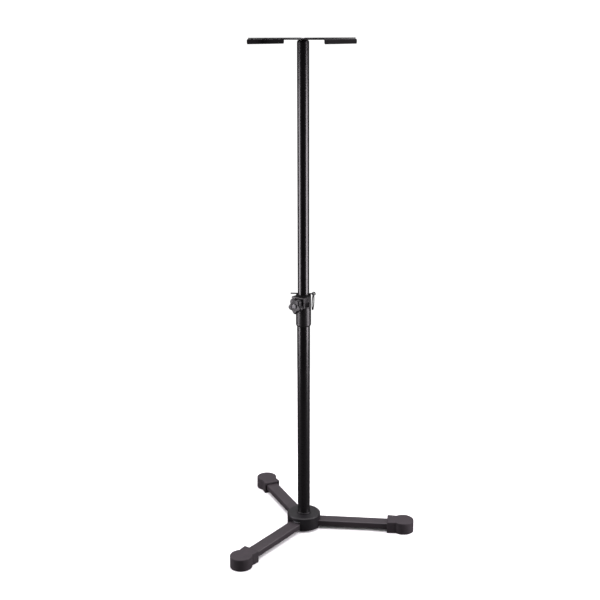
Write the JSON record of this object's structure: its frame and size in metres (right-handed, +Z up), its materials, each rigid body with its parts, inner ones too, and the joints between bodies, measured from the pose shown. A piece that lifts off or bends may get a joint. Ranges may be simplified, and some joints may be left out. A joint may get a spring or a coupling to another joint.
{
  "type": "speaker tripod stand",
  "caption": "Floor stand for a loudspeaker: flat three-legged base, telescopic mast with clamp and safety pin, H-shaped support plate.",
  "frame": {"origin": "centre of the footprint at floor level; the mast stands 81.25 mm to its -X side, over the middle of the hub", "axes": "+X along the first leg away from the hub, +Z up along the mast, +Y completes the right-handed set"},
  "size_m": [0.5554, 0.631, 1.5377],
  "materials": {
    "powder_coat": "fine-textured black powder coat",
    "satin_black": "satin black",
    "moulded_black": "moulded black plastic",
    "cap_grey": "satin grey plastic",
    "foot_rubber": "matt dark grey rubber",
    "grip_rubber": "matt black rubber",
    "zinc_steel": "zinc plated",
    "chrome_steel": "bright"
  },
  "bodies": {
    "base": {"base_plate": "zinc_steel", "spider_plate": "zinc_steel", "hub_cover": "moulded_black", "centre_bolt": "zinc_steel", "tube_plug": "zinc_steel", "main_tube": "satin_black", "tube_ring": "moulded_black", "leg_1": "powder_coat", "leg_2": "powder_coat", "leg_3": "powder_coat", "foot_cap_1": "foot_rubber", "foot_cap_2": "foot_rubber", "foot_cap_3": "foot_rubber", "leg_bolt_1": "zinc_steel", "leg_bolt_2": "zinc_steel", "leg_bolt_3": "zinc_steel", "leg_bolt_4": "zinc_steel", "leg_bolt_5": "zinc_steel", "leg_bolt_6": "zinc_steel", "collar": "satin_black", "guide_bush": "moulded_black", "collar_set_screw": "zinc_steel", "clamp_nut": "zinc_steel"},
    "clamp_shoe": {"brake_shoe": "moulded_black"},
    "clamp_knob": {"clamp_screw": "zinc_steel", "knob": "moulded_black", "knob_cap": "cap_grey"},
    "guide_ring": {"mast_guide": "moulded_black"},
    "mast": {"extension_tube": "satin_black", "top_boss": "satin_black", "plate_bolt": "satin_black", "support_plate": "powder_coat", "grip_pad_left": "grip_rubber", "grip_pad_right": "grip_rubber"},
    "lock_pin": {"safety_pin": "chrome_steel"},
    "pin_ring": {"pull_ring": "chrome_steel"}
  },
  "joints": [
    {"name": "mast_height", "type": "slide", "parent": "base", "child": "guide_ring", "axis": [0, 0, 1], "range_m": [0, 0.12]},
    {"name": "mast_swivel", "type": "hinge", "parent": "guide_ring", "child": "mast", "pos_m": [-0.08125, 0, 0.75], "axis": [0, 0, 1], "range_deg": [-43, 120]},
    {"name": "clamp_release", "type": "slide", "parent": "base", "child": "clamp_shoe", "axis": [-0.5, -0.866, 0], "range_m": [0, 0.0025]},
    {"name": "knob_turn", "type": "hinge", "parent": "clamp_shoe", "child": "clamp_knob", "pos_m": [-0.10105, -0.03429, 0.757], "axis": [-0.5, -0.866, 0], "range_deg": [0, 720]},
    {"name": "pin_pull", "type": "slide", "parent": "mast", "child": "lock_pin", "axis": [1, 0, 0], "range_m": [0, 0.065]},
    {"name": "ring_flip", "type": "hinge", "parent": "lock_pin", "child": "pin_ring", "pos_m": [-0.04985, 0, 0.7883], "axis": [0.1908, -0.9816, 0], "range_deg": [0, 150]}
  ],
  "couplings": [
    {"joint": "clamp_release", "follows": "knob_turn", "m_per_rad": 0.00019894}
  ]
}
